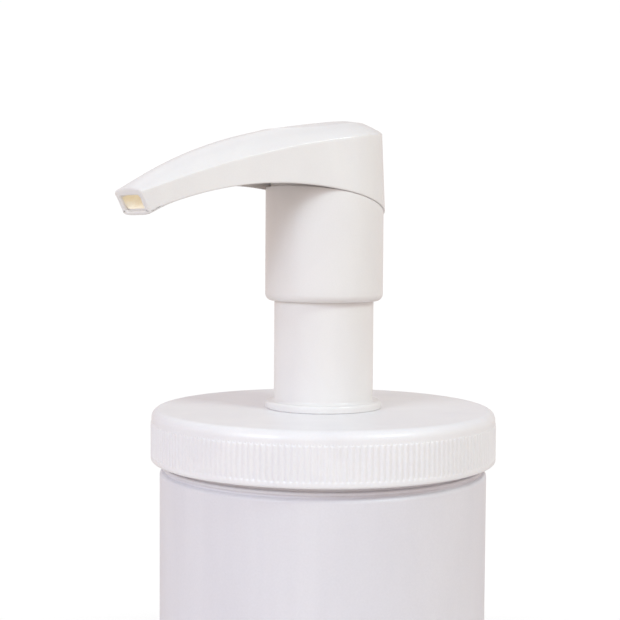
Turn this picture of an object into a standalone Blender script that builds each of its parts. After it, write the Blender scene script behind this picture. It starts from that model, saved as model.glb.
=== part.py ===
# Condiment pump dispenser: a straight-sided screw-top jar with a press-down pump in its lid.
# Units are metres, +Z is up the jar's axis, the origin is the centre of the jar's flat base,
# and the spout points along -X. Along the spout, u is the distance from the axis (u = -x).
import math

import bmesh
import bpy
from mathutils import Vector

MM = 0.001

# ---------------------------------------------------------------- driving dimensions
GAP = 0.3 * MM                    # air left between two pieces that touch
ROUND_STEPS = 48                  # facets round the jar, the lid and the sleeve
SMALL_STEPS = 32                  # facets round the pump's inner pieces
FINE_STEPS = 20                   # facets round the valve balls

# jar and lid
LID_RADIUS = 62.5 * MM
LID_HEIGHT = 18.5 * MM
LID_WALL = 2.1 * MM
LID_PLATE = 2.2 * MM              # thickness of the lid's flat top
LID_EDGE_ROUND = 3.2 * MM
LID_OVERHANG = 4.0 * MM           # how far the lid stands out past the jar's wall
JAR_HEIGHT = 150.0 * MM           # base to shoulder
JAR_WALL = 1.8 * MM
JAR_BASE = 2.4 * MM
JAR_FOOT_ROUND = 3.0 * MM
NECK_STEP = 1.6 * MM              # the neck is this much slimmer than the jar
SHOULDER_GAP = 3.8 * MM           # open height between the shoulder and the lid's lower edge
LINER_THICKNESS = 1.2 * MM
THREAD_PITCH = 5.0 * MM
THREAD_TURNS = 1.25
THREAD_WIDTH = 1.7 * MM           # axial width of a thread ridge at its root
THREAD_TIP = 0.9 * MM             # and at its crest
THREAD_OVERLAP = 1.2 * MM         # how far the two ridges reach past each other

# pump collar, the fixed chimney on the lid
COLLAR_RADIUS = 18.0 * MM
COLLAR_WALL = 1.8 * MM
FLANGE_WIDTH = 3.2 * MM           # flange past the chimney
FLANGE_HEIGHT = 2.2 * MM
SPIGOT_LENGTH = 8.5 * MM          # threaded tail below the gasket
GASKET_THICKNESS = 1.0 * MM
GASKET_WIDTH = 3.6 * MM

# pumping action
STROKE = 35.0 * MM
SLEEVE_STOP_GAP = 1.3 * MM        # sleeve's lip above the flange with the head down
SLEEVE_OVERLAP = 10.0 * MM        # chimney inside the sleeve with the head up
SLEEVE_WALL = 3.0 * MM
SLEEVE_CLEARANCE = 0.35 * MM
SLEEVE_LIP_ROUND = 2.6 * MM
BARREL_WALL = 1.6 * MM
BARREL_RADIUS = 16.0 * MM         # bore
STEM_RADIUS = 6.5 * MM
STEM_BORE = 4.0 * MM
STEM_COLLAR = 1.5 * MM
PISTON_HEIGHT = 12.0 * MM
PISTON_CLEARANCE = 0.5 * MM
BOTTOM_CLEARANCE = 1.7 * MM       # left under the piston at the end of the stroke
SPRING_WIRE = 0.8 * MM            # radius of the wire
SPRING_PLAY = 1.5 * MM            # between the wire and the hub inside it
SPRING_TURNS = 8
FOOT_NECK_RADIUS = 6.5 * MM       # bore of the barrel's tail
FOOT_NECK_LENGTH = 11.0 * MM
INLET_BALL_RADIUS = 4.5 * MM
OUTLET_BALL_RADIUS = 3.3 * MM
BALL_LIFT = 2.5 * MM
DIP_RADIUS = 5.0 * MM
DIP_WALL = 1.2 * MM
DIP_FOOT_GAP = 3.0 * MM           # dip tube above the jar's floor

# head cover and spout
HEAD_LEDGE = 0.5 * MM             # cover stands this far out past the sleeve
HEAD_WALL = 1.3 * MM
HEAD_EDGE = 1.3 * MM              # bevel between the side and the top
DRAFT = math.tan(math.radians(2.5))
SPOUT_REACH = 78.1 * MM           # axis to the middle of the mouth
MOUTH_HALF_WIDTH = 9.2 * MM
MOUTH_LEAN = 1.93 * MM            # top of the mouth ahead of its middle, and bottom behind
LEAN_START = 45.0 * MM            # where the sections begin to lean
ARCH_PEAK_U = 27.5 * MM           # the cover's lower edge is one arc
ARCH_BELOW_DUCT = 6.5 * MM        # peak of the arch below the duct's underside
ARCH_RADIUS = 116.5 * MM
EDGE_ABOVE_DUCT = 11.6 * MM       # upper side edge at the axis above the duct's underside
EDGE_SLOPE = 0.125
EDGE_SAG = 1.8                    # growing fall of the edge line, in 1/m
CROWN = 5.7 * MM                  # rise of the top from its edges to the middle
MOUTH_CROWN = 1.6 * MM
CROWN_FULLNESS = 2.5              # 2 is a plain arch, more is flatter in the middle
DUCT_WALL = 0.9 * MM
DUCT_CLEARANCE = 2.6 * MM         # between the collar and the duct with the head down
DUCT_RAMP_START = 0.65 * MM       # past the sleeve
DUCT_RAMP_LENGTH = 16.0 * MM
DUCT_MARGIN = 1.1 * MM            # duct wider than the hub, each side
HUB_WALL = 1.9 * MM
HUB_DEPTH = 10.0 * MM             # how far the hub hangs below the duct

# ---------------------------------------------------------------- heights and radii that follow
jar_radius = LID_RADIUS - LID_OVERHANG
neck_radius = jar_radius - NECK_STEP
lid_bottom = JAR_HEIGHT + SHOULDER_GAP
lid_top = lid_bottom + LID_HEIGHT
lid_bore = LID_RADIUS - LID_WALL
plate_bottom = lid_top - LID_PLATE
liner_top = plate_bottom - GAP
liner_bottom = liner_top - LINER_THICKNESS
rim_top = liner_bottom - GAP
lid_hole = COLLAR_RADIUS + GAP
collar_bore = COLLAR_RADIUS - COLLAR_WALL
flange_radius = COLLAR_RADIUS + FLANGE_WIDTH
flange_bottom = lid_top + GAP
flange_top = flange_bottom + FLANGE_HEIGHT
lip_z = flange_top + STROKE + SLEEVE_STOP_GAP
collar_top = lip_z + SLEEVE_OVERLAP
gasket_top = plate_bottom - GAP
gasket_bottom = gasket_top - GASKET_THICKNESS
socket_top = gasket_bottom - GAP
spigot_bottom = socket_top - SPIGOT_LENGTH
bush_flange = 1.8 * MM
socket_floor = spigot_bottom - bush_flange - 2 * GAP
socket_bore = COLLAR_RADIUS + GAP
barrel_outer = BARREL_RADIUS + BARREL_WALL
bush_plug = 3.0 * MM
bush_bottom = socket_floor - bush_plug
stem_collar_top = bush_bottom - GAP
piston_top = stem_collar_top - STEM_COLLAR - GAP
piston_bottom = piston_top - PISTON_HEIGHT
foot_nut_height = 4.0 * MM
foot_nut_top = piston_bottom - GAP
foot_nut_bottom = foot_nut_top - foot_nut_height
barrel_floor = foot_nut_bottom - STROKE - BOTTOM_CLEARANCE
barrel_base = barrel_floor - BARREL_WALL
foot_neck_outer = FOOT_NECK_RADIUS + BARREL_WALL
foot_neck_end = barrel_base - FOOT_NECK_LENGTH
seat_z = foot_neck_end - GAP
seat_plate = 2.5 * MM
dip_top = seat_z - seat_plate - GAP
dip_bottom = JAR_BASE + DIP_FOOT_GAP
sleeve_bore = COLLAR_RADIUS + SLEEVE_CLEARANCE
sleeve_radius = sleeve_bore + SLEEVE_WALL
head_radius = sleeve_radius + HEAD_LEDGE
cover_bore = head_radius - HEAD_WALL
duct_bottom = collar_top + STROKE + DUCT_CLEARANCE
arch_peak = duct_bottom - ARCH_BELOW_DUCT
edge_height = duct_bottom + EDGE_ABOVE_DUCT
sleeve_top = duct_bottom - 5 * GAP
back_drop = ARCH_RADIUS - math.sqrt(ARCH_RADIUS ** 2 - (ARCH_PEAK_U + head_radius) ** 2)
sleeve_tail = cover_bore - GAP - DRAFT * (sleeve_top - arch_peak + back_drop)
ramp_start = sleeve_radius + DUCT_RAMP_START
ramp_end = ramp_start + DUCT_RAMP_LENGTH
hub_radius = STEM_RADIUS + GAP + HUB_WALL
duct_half_width = hub_radius + DUCT_MARGIN
spring_radius = hub_radius + SPRING_PLAY + SPRING_WIRE
spring_seat_radius = spring_radius + 2 * SPRING_WIRE
hub_bottom = duct_bottom - HUB_DEPTH
hub_flange_top = duct_bottom - 1.6 * MM
hub_flange_bottom = hub_flange_top - 1.5 * MM
stem_top = duct_bottom + DUCT_WALL - GAP
spring_bottom = socket_floor + GAP + bush_flange + GAP
spring_top = hub_flange_bottom - GAP


# ---------------------------------------------------------------- workshop helpers
def clear_scene():
    for thing in list(bpy.data.objects):
        bpy.data.objects.remove(thing, do_unlink=True)


def plastic(name, colour, roughness, metallic=0.0):
    """A Principled BSDF material in one colour."""
    material = bpy.data.materials.new(name)
    material.use_nodes = True
    shader = material.node_tree.nodes["Principled BSDF"]
    shader.inputs["Base Color"].default_value = (*colour, 1.0)
    shader.inputs["Roughness"].default_value = roughness
    shader.inputs["Metallic"].default_value = metallic
    return material


def axis_empty(name, parent=None):
    """An empty on the jar's axis that carries the pieces of one moving group."""
    empty = bpy.data.objects.new(name, None)
    bpy.context.collection.objects.link(empty)
    empty.parent = parent
    return empty


def add_object(name, mesh_edit, material=None, parent=None, base_z=0.0):
    """Turns a bmesh in world height into an object whose origin is on the axis at base_z."""
    bmesh.ops.remove_doubles(mesh_edit, verts=mesh_edit.verts, dist=1e-7)
    bmesh.ops.dissolve_degenerate(mesh_edit, edges=mesh_edit.edges, dist=1e-7)
    bmesh.ops.recalc_face_normals(mesh_edit, faces=mesh_edit.faces)
    bmesh.ops.translate(mesh_edit, verts=mesh_edit.verts, vec=(0, 0, -base_z))
    mesh = bpy.data.meshes.new(name)
    mesh_edit.to_mesh(mesh)
    mesh_edit.free()
    mesh.shade_smooth()
    mesh.set_sharp_from_angle(angle=math.radians(35))
    thing = bpy.data.objects.new(name, mesh)
    thing.location = (0, 0, base_z)
    thing.parent = parent
    bpy.context.collection.objects.link(thing)
    if material:
        mesh.materials.append(material)
    return thing


def boolean(thing, tool, operation):
    """Adds a live Boolean with a hidden wire tool."""
    tool.hide_render = True
    tool.display_type = "WIRE"
    modifier = thing.modifiers.new(tool.name, "BOOLEAN")
    modifier.operation = operation
    modifier.solver = "EXACT"
    modifier.object = tool


def turned(name, outline, steps, material=None, parent=None):
    """Spins a closed outline of (radius, height) points about the Z axis."""
    shape = bmesh.new()
    points = [shape.verts.new((radius, 0, height)) for radius, height in outline]
    edges = [shape.edges.new((a, b)) for a, b in zip(points, points[1:] + points[:1])
             if a.co.x > 1e-9 or b.co.x > 1e-9]
    bmesh.ops.spin(shape, geom=points + edges, cent=(0, 0, 0), axis=(0, 0, 1),
                   angle=2 * math.pi, steps=steps, use_merge=True)
    return add_object(name, shape, material, parent, base_z=min(z for _, z in outline))


def tube(name, inner, outer, bottom, top, steps, material=None, parent=None):
    ring = [(inner, bottom), (outer, bottom), (outer, top), (inner, top)]
    return turned(name, ring, steps, material, parent)


def corner(radius, height, size, start, steps=3):
    """Points of a quarter-round corner about (radius, height), from angle start, turning left."""
    angles = [math.radians(start + 90 * i / steps) for i in range(steps + 1)]
    return [(radius + size * math.cos(a), height + size * math.sin(a)) for a in angles]


def helix_ridge(name, root, crest, height, steps, turns=THREAD_TURNS):
    """A blunt-ended thread ridge; root and crest are radii, height is its middle at angle 0."""
    shape = bmesh.new()
    rings = []
    for i in range(round(turns * steps) + 1):
        angle = 2 * math.pi * i / steps
        middle = height + THREAD_PITCH * i / steps
        section = [(root, -THREAD_WIDTH / 2), (crest, -THREAD_TIP / 2),
                   (crest, THREAD_TIP / 2), (root, THREAD_WIDTH / 2)]
        rings.append([shape.verts.new((r * math.cos(angle), r * math.sin(angle), middle + z))
                      for r, z in section])
    for a, b in zip(rings, rings[1:]):
        for k in range(4):
            shape.faces.new((a[k], a[(k + 1) % 4], b[(k + 1) % 4], b[k]))
    shape.faces.new(rings[0])
    shape.faces.new(rings[-1])
    return add_object(name, shape)


# ---------------------------------------------------------------- jar
thread_start = rim_top - THREAD_TURNS * THREAD_PITCH - 3.5 * MM
thread_play = THREAD_WIDTH + GAP          # drop of the lid's ridge below the jar's
jar_crest = neck_radius + (lid_bore - neck_radius + THREAD_OVERLAP) / 2
lid_crest = jar_crest - THREAD_OVERLAP
ridge_root = 0.4 * MM                     # depth that a ridge's root is sunk in its wall


def make_jar(material):
    inner = jar_radius - JAR_WALL
    neck_inner = neck_radius - JAR_WALL
    groove = 0.8 * MM
    outline = [(0, 0), (jar_radius - 14 * MM, 0), (jar_radius - 13 * MM, groove),
               (jar_radius - 9 * MM, groove), (jar_radius - 8 * MM, 0)]
    outline += corner(jar_radius - JAR_FOOT_ROUND, JAR_FOOT_ROUND, JAR_FOOT_ROUND, -90)
    outline += corner(jar_radius - NECK_STEP, JAR_HEIGHT - NECK_STEP, NECK_STEP, 0)[:-1]
    outline += [(neck_radius, JAR_HEIGHT), (neck_radius, rim_top - 0.6 * MM),
                (neck_radius - 0.6 * MM, rim_top), (neck_inner + 0.4 * MM, rim_top),
                (neck_inner, rim_top - 0.4 * MM), (neck_inner, JAR_HEIGHT - JAR_WALL),
                (inner, JAR_HEIGHT - JAR_WALL - NECK_STEP)]
    outline += [(inner, JAR_BASE + JAR_FOOT_ROUND), (inner - 1.0 * MM, JAR_BASE + 1.0 * MM),
                (inner - JAR_FOOT_ROUND, JAR_BASE), (0, JAR_BASE)]
    jar = turned("jar", outline, ROUND_STEPS, material)
    ridge = helix_ridge("jar_thread_ridge", neck_radius - ridge_root, jar_crest,
                        thread_start, ROUND_STEPS)
    boolean(jar, ridge, "UNION")
    return jar


# ---------------------------------------------------------------- lid and its liner
def make_lid(material, parent):
    chamfer = 0.6 * MM
    outline = [(lid_bore, lid_bottom + chamfer), (lid_bore + chamfer, lid_bottom),
               (LID_RADIUS - chamfer, lid_bottom), (LID_RADIUS, lid_bottom + chamfer)]
    outline += corner(LID_RADIUS - LID_EDGE_ROUND, lid_top - LID_EDGE_ROUND, LID_EDGE_ROUND, 0)
    outline += [(lid_hole, lid_top), (lid_hole, plate_bottom), (lid_bore, plate_bottom)]
    lid = turned("screw_lid", outline, ROUND_STEPS, material, parent)
    ridge = helix_ridge("lid_thread_ridge", lid_bore + ridge_root, lid_crest,
                        thread_start - thread_play, ROUND_STEPS)
    boolean(lid, ridge, "UNION")
    return lid


def make_liner(material, parent):
    """The sealing ring under the lid's plate, on the jar's rim."""
    width = 6.0 * MM
    return tube("lid_liner", neck_radius + 1.0 * MM - width, neck_radius + 1.0 * MM,
                liner_bottom, liner_top, ROUND_STEPS, material, parent)


# ---------------------------------------------------------------- collar, gasket and barrel
def make_collar(material, parent):
    chamfer = 0.6 * MM
    outline = [(collar_bore, spigot_bottom), (COLLAR_RADIUS - chamfer, spigot_bottom),
               (COLLAR_RADIUS, spigot_bottom + chamfer), (COLLAR_RADIUS, flange_bottom),
               (flange_radius, flange_bottom)]
    outline += corner(flange_radius - chamfer, flange_top - chamfer, chamfer, 0, steps=2)
    outline += [(COLLAR_RADIUS + chamfer, flange_top), (COLLAR_RADIUS, flange_top + chamfer),
                (COLLAR_RADIUS, collar_top - chamfer), (COLLAR_RADIUS - chamfer, collar_top),
                (collar_bore, collar_top)]
    return turned("pump_collar", outline, ROUND_STEPS, material, parent)


def make_gasket(material, parent):
    return tube("collar_gasket", socket_bore, socket_bore + GASKET_WIDTH,
                gasket_bottom, gasket_top, SMALL_STEPS, material, parent)


def make_barrel(material, parent):
    """Cylinder hung on the collar's tail; its socket clamps the gasket to the lid."""
    socket_outer = socket_bore + GASKET_WIDTH
    flare = socket_floor - 2.5 * MM
    outline = [(FOOT_NECK_RADIUS, foot_neck_end), (foot_neck_outer, foot_neck_end),
               (foot_neck_outer, barrel_base), (barrel_outer - 2 * MM, barrel_base),
               (barrel_outer, barrel_base + 2 * MM), (barrel_outer, flare - 2.5 * MM),
               (socket_outer, flare), (socket_outer, socket_top), (socket_bore, socket_top),
               (socket_bore, socket_floor), (BARREL_RADIUS, socket_floor),
               (BARREL_RADIUS, barrel_floor), (FOOT_NECK_RADIUS, barrel_floor)]
    return turned("pump_barrel", outline, SMALL_STEPS, material, parent)


# ---------------------------------------------------------------- foot valve and dip tube
def make_foot_valve(material, parent):
    """Cap on the barrel's tail: a conical ball seat above, the dip tube's socket below."""
    wall = 1.5 * MM
    cup = foot_neck_outer + GAP
    tube_bore = DIP_RADIUS + GAP
    seat_hole = INLET_BALL_RADIUS * 0.7
    seat_bottom = seat_z - seat_plate
    socket_end = dip_top - 10 * MM
    outline = [(tube_bore, socket_end), (tube_bore + wall, socket_end),
               (tube_bore + wall, seat_bottom - 2 * MM), (cup + wall, seat_bottom),
               (cup + wall, barrel_base - GAP), (cup, barrel_base - GAP), (cup, seat_z),
               (FOOT_NECK_RADIUS, seat_z), (seat_hole, seat_z - 1.6 * MM),
               (seat_hole, seat_bottom), (tube_bore, seat_bottom)]
    return turned("foot_valve_cap", outline, SMALL_STEPS, material, parent)


def ball_rest_height(ball, seat_hole, edge_z):
    """Height of a ball's centre when it sits on the edge of a round hole, a gap above it."""
    return edge_z + math.sqrt((ball + GAP) ** 2 - seat_hole ** 2)


def make_ball(name, radius, centre, material, parent):
    shape = bmesh.new()
    bmesh.ops.create_uvsphere(shape, u_segments=FINE_STEPS, v_segments=FINE_STEPS // 2,
                              radius=radius)
    bmesh.ops.translate(shape, verts=shape.verts, vec=(0, 0, centre))
    return add_object(name, shape, material, parent, base_z=centre)


def make_cage(name, outer, stop_z, foot_z, material, parent):
    """A ring with a cross bar over the ball: the bar is the ball's upper stop."""
    wall = 0.9 * MM
    bar = 1.4 * MM
    ring = tube(name, outer - wall, outer, foot_z, stop_z + bar, FINE_STEPS, material, parent)
    shape = bmesh.new()
    bmesh.ops.create_cube(shape, size=1.0)
    bmesh.ops.scale(shape, verts=shape.verts, vec=(2 * outer - wall, bar, bar * 0.8))
    bmesh.ops.translate(shape, verts=shape.verts, vec=(0, 0, stop_z + bar / 2))
    cross_bar = add_object(name + "_bar", shape)
    boolean(ring, cross_bar, "UNION")
    return ring


def make_dip_tube(material, parent):
    """Straight tube with a slanted foot, so that the jar's floor can't close it."""
    inner = DIP_RADIUS - DIP_WALL
    dip_tube = tube("dip_tube", inner, DIP_RADIUS, dip_bottom, dip_top, FINE_STEPS,
                    material, parent)
    for vertex in dip_tube.data.vertices:
        if vertex.co.z < GAP:
            vertex.co.z += (vertex.co.x + DIP_RADIUS) * 0.6
    return dip_tube


# ---------------------------------------------------------------- bush, stem, piston and spring
def make_bush(material, parent):
    """Closes the barrel, guides the stem and carries the spring and the wiper."""
    bore = STEM_RADIUS + GAP
    bottom = bush_bottom + GAP
    ledge = socket_floor + GAP
    top = ledge + bush_flange
    boss = spring_radius - SPRING_WIRE - 2 * GAP
    wiper_seat = STEM_RADIUS + 2.0 * MM
    outline = [(bore, bottom), (BARREL_RADIUS - GAP, bottom), (BARREL_RADIUS - GAP, ledge),
               (socket_bore - GAP, ledge), (socket_bore - GAP, top), (boss, top),
               (boss, top + 4.0 * MM), (wiper_seat, top + 4.0 * MM), (wiper_seat, top),
               (bore, top)]
    return turned("stem_guide_bush", outline, SMALL_STEPS, material, parent)


def make_wiper(material, parent):
    """Lipped ring in the bush that wipes the stem."""
    bottom = socket_floor + GAP + bush_flange + GAP
    outer = STEM_RADIUS + 2.0 * MM - GAP
    inner = STEM_RADIUS + GAP / 2
    outline = [(inner + 0.5 * MM, bottom), (outer, bottom), (outer, bottom + 3.0 * MM),
               (inner, bottom + 3.4 * MM), (inner, bottom + 2.6 * MM)]
    return turned("stem_wiper", outline, SMALL_STEPS, material, parent)


chamber_radius = OUTLET_BALL_RADIUS + 1.4 * MM
chamber_top = piston_bottom + PISTON_HEIGHT


def make_stem(material, parent):
    """Hollow rod: a valve chamber at its foot, a flange over the piston, the head on top."""
    flange = STEM_RADIUS + 3.5 * MM
    outline = [(chamber_radius, foot_nut_top), (STEM_RADIUS, foot_nut_top),
               (STEM_RADIUS, stem_collar_top - STEM_COLLAR), (flange, stem_collar_top - STEM_COLLAR),
               (flange, stem_collar_top), (STEM_RADIUS, stem_collar_top), (STEM_RADIUS, stem_top),
               (STEM_BORE, stem_top), (STEM_BORE, chamber_top), (chamber_radius, chamber_top)]
    return turned("piston_stem", outline, SMALL_STEPS, material, parent)


def make_stem_foot(material, parent):
    """Plug at the foot of the stem: it holds the piston on and is the outlet ball's seat."""
    hole = OUTLET_BALL_RADIUS * 0.7
    plug = chamber_radius - GAP
    outline = [(hole, foot_nut_bottom), (STEM_RADIUS + 3.5 * MM, foot_nut_bottom),
               (STEM_RADIUS + 3.5 * MM, foot_nut_top - GAP), (plug, foot_nut_top - GAP),
               (plug, foot_nut_top + 1.2 * MM), (hole + 1.2 * MM, foot_nut_top + 1.2 * MM),
               (hole, foot_nut_top)]
    return turned("stem_foot_seat", outline, SMALL_STEPS, material, parent)


seal_inner = BARREL_RADIUS - 4.0 * MM
seal_top = piston_top - 3.0 * MM
seal_bottom = piston_bottom + 3.0 * MM


def make_piston(material, parent):
    """Spool between the stem's flange and the foot seat, with a groove for the cup seal."""
    land = BARREL_RADIUS - PISTON_CLEARANCE
    groove = seal_inner - GAP
    bore = STEM_RADIUS + GAP
    outline = [(bore, piston_bottom), (land, piston_bottom), (land, seal_bottom - GAP),
               (groove, seal_bottom - GAP), (groove, seal_top + GAP), (land, seal_top + GAP),
               (land, piston_top), (bore, piston_top)]
    return turned("piston", outline, SMALL_STEPS, material, parent)


def make_piston_seal(material, parent):
    """Two-lipped cup seal that runs on the bore."""
    contact = BARREL_RADIUS - GAP / 2
    waist = BARREL_RADIUS - 4 * GAP
    middle = (seal_top + seal_bottom) / 2
    outline = [(seal_inner, seal_bottom), (contact, seal_bottom), (contact, seal_bottom + 0.8 * MM),
               (waist, middle), (contact, seal_top - 0.8 * MM), (contact, seal_top),
               (seal_inner, seal_top)]
    return turned("piston_seal", outline, SMALL_STEPS, material, parent)


def make_spring(material, parent):
    """Compression spring between the bush and the hub, one closed turn at each end."""
    steps_per_turn = 14
    sides = 6
    wire = 2 * SPRING_WIRE * 1.06             # pitch of a closed turn
    span = spring_top - spring_bottom - 2 * SPRING_WIRE
    open_pitch = (span - 2 * wire) / (SPRING_TURNS - 2)
    shape = bmesh.new()
    rings = []
    for i in range(SPRING_TURNS * steps_per_turn + 1):
        turn = i / steps_per_turn
        rise = wire * min(turn, 1) + open_pitch * min(max(turn - 1, 0), SPRING_TURNS - 2)
        rise += wire * max(turn - SPRING_TURNS + 1, 0)
        angle = 2 * math.pi * turn
        out = Vector((math.cos(angle), math.sin(angle), 0))
        centre = out * spring_radius + Vector((0, 0, spring_bottom + SPRING_WIRE + rise))
        ring = []
        for k in range(sides):
            a = 2 * math.pi * k / sides
            offset = out * math.cos(a) * SPRING_WIRE + Vector((0, 0, math.sin(a) * SPRING_WIRE))
            ring.append(shape.verts.new(centre + offset))
        rings.append(ring)
    for a, b in zip(rings, rings[1:]):
        for k in range(sides):
            shape.faces.new((a[k], a[(k + 1) % sides], b[(k + 1) % sides], b[k]))
    shape.faces.new(rings[0])
    shape.faces.new(rings[-1])
    return add_object("return_spring", shape, material, parent, base_z=spring_bottom)


# ---------------------------------------------------------------- head cover and spout
def smooth(value):
    value = min(max(value, 0.0), 1.0)
    return value * value * (3 - 2 * value)


def arch(u):
    """Height of the cover's lower edge."""
    drop = ARCH_RADIUS - math.sqrt(ARCH_RADIUS ** 2 - (u - ARCH_PEAK_U) ** 2)
    return arch_peak - drop


def side_edge(u):
    """Height of the edge between the cover's side and its top."""
    return edge_height - EDGE_SLOPE * u - EDGE_SAG * max(u, 0) ** 2


def crown(u):
    """Rise of the top's middle over its edges."""
    along = max(u - head_radius, 0) / (SPOUT_REACH - head_radius)
    return CROWN + (MOUTH_CROWN - CROWN) * along ** 2


def lean(u):
    """Forward lean of a section of the spout: the mouth is cut square to the flow."""
    return MOUTH_LEAN * smooth((u - LEAN_START) / (SPOUT_REACH - LEAN_START))


def plan(inset, side_points=9, back_points=14):
    """The head's outline from above: tip, one side, the round back, the other side, tip."""
    radius = head_radius - inset
    half_tip = MOUTH_HALF_WIDTH - inset
    reach = math.hypot(SPOUT_REACH, half_tip)
    taper = math.asin(radius / reach) - math.atan2(half_tip, SPOUT_REACH)
    touch = Vector((radius * math.sin(taper), radius * math.cos(taper)))
    tip = Vector((SPOUT_REACH, half_tip))
    side = [tip.lerp(touch, i / side_points) for i in range(side_points)]
    sweep = math.pi + 2 * taper
    back = [Vector((radius * math.cos(a), radius * math.sin(a)))
            for a in (math.pi / 2 - taper + sweep * i / back_points
                      for i in range(back_points + 1))]
    other = [Vector((p.x, -p.y)) for p in reversed(side)]
    return side + back + other


def skin(wall):
    """Rows of points up one side of the cover and over to its middle; wall is the inset."""
    rows = []
    bottom = plan(wall)
    for inset, drop in ((0, HEAD_EDGE), (HEAD_EDGE, 0)):
        row = []
        for p in plan(wall + inset):
            height = side_edge(p.x) - arch(p.x)
            squeeze = 1 - DRAFT * height / max(p.length, MOUTH_HALF_WIDTH)
            top_u = p.x + lean(p.x)
            side = Vector((p.x * (squeeze if p.x < 0 else 1), p.y * squeeze))
            row.append(Vector((-side.x - lean(p.x), side.y, side_edge(top_u) - wall - drop)))
        rows.append(row)
    rows.insert(0, [Vector((-(p.x - lean(p.x)), p.y, arch(p.x - lean(p.x)))) for p in bottom])
    edge = rows[-1]
    for part in (0.3, 0.65, 1.0):
        row = []
        for p in edge:
            spine = Vector((min(p.x, 0), 0, p.z))
            q = p.lerp(spine, part)
            q.z = side_edge(-q.x) - wall + crown(-q.x) * (1 - (1 - part) ** CROWN_FULLNESS)
            row.append(q)
        rows.append(row)
    return rows


def make_head_cover(material, parent):
    shape = bmesh.new()
    outer = [[shape.verts.new(p) for p in row] for row in skin(0)]
    inner = [[shape.verts.new(p) for p in row] for row in skin(HEAD_WALL)]
    last = len(outer[0]) - 1
    for grid in (outer, inner):
        for low, high in zip(grid, grid[1:]):
            for i in range(last):
                shape.faces.new((low[i], low[i + 1], high[i + 1], high[i]))
    for i in range(last):
        shape.faces.new((outer[0][i], inner[0][i], inner[0][i + 1], outer[0][i + 1]))
    for k in range(len(outer) - 1):
        for end in (0, last):
            shape.faces.new((outer[k][end], outer[k + 1][end], inner[k + 1][end], inner[k][end]))
    return add_object("head_cover", shape, material, parent, base_z=lip_z)


def duct_section(u, wall):
    """Corners of the duct's rectangular section at u, as (x, y, z)."""
    mouth_half = MOUTH_HALF_WIDTH - HEAD_WALL - 2 * GAP
    half = duct_half_width + (mouth_half - duct_half_width) * max(u, 0) / SPOUT_REACH - wall
    fall = smooth((u - ramp_start) / DUCT_RAMP_LENGTH)
    low_u = u - lean(u)
    high_u = u + lean(u)
    low = duct_bottom + (arch(low_u) + GAP / 2 - duct_bottom) * fall + wall
    high = side_edge(high_u) - HEAD_WALL - HEAD_EDGE * 0.3 - GAP - wall
    return [Vector((-low_u, -half, low)), Vector((-low_u, half, low)),
            Vector((-high_u, half, high)), Vector((-high_u, -half, high))]


def duct_solid(name, wall, start, end_past):
    """A lofted bar along the spout; end_past lengthens it so that a cut runs right through."""
    stations = [start]
    stations += [ramp_start * i / 3 for i in (1, 2)]
    stations += [ramp_start + DUCT_RAMP_LENGTH * i / 3 for i in range(3)]
    stations += [ramp_end + (SPOUT_REACH - ramp_end) * i / 5 for i in range(6)]
    shape = bmesh.new()
    sections = [duct_section(u, wall) for u in stations]
    if end_past:
        sections.append([p + (p - q).normalized() * end_past
                         for p, q in zip(sections[-1], sections[-2])])
    rings = [[shape.verts.new(p) for p in section] for section in sections]
    for a, b in zip(rings, rings[1:]):
        for k in range(4):
            shape.faces.new((a[k], a[(k + 1) % 4], b[(k + 1) % 4], b[k]))
    shape.faces.new(rings[0])
    shape.faces.new(rings[-1])
    return add_object(name, shape)


def make_spout_duct(material, parent):
    """The flow channel inside the cover, with the hub that grips the stem."""
    back = -duct_half_width
    duct = duct_solid("spout_duct", 0.0, back, 0.0)
    duct.data.materials.append(material)
    duct.parent = parent
    bore = STEM_RADIUS + GAP
    inside_hub = duct_bottom + DUCT_WALL / 2
    hub_outline = [(0, hub_bottom), (hub_radius, hub_bottom), (hub_radius, hub_flange_bottom),
                   (spring_seat_radius, hub_flange_bottom),
                   (spring_seat_radius, hub_flange_top), (hub_radius, hub_flange_top),
                   (hub_radius, inside_hub), (0, inside_hub)]
    hub = turned("hub_blank", hub_outline, SMALL_STEPS)
    boolean(duct, hub, "UNION")
    channel = duct_solid("duct_channel", DUCT_WALL, back + DUCT_WALL, 5 * MM)
    boolean(duct, channel, "DIFFERENCE")
    drill = turned("hub_bore", [(0, hub_bottom - MM), (bore, hub_bottom - MM),
                                (bore, duct_bottom + 2 * DUCT_WALL), (0, duct_bottom + 2 * DUCT_WALL)],
                   SMALL_STEPS)
    boolean(duct, drill, "DIFFERENCE")
    return duct


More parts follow.
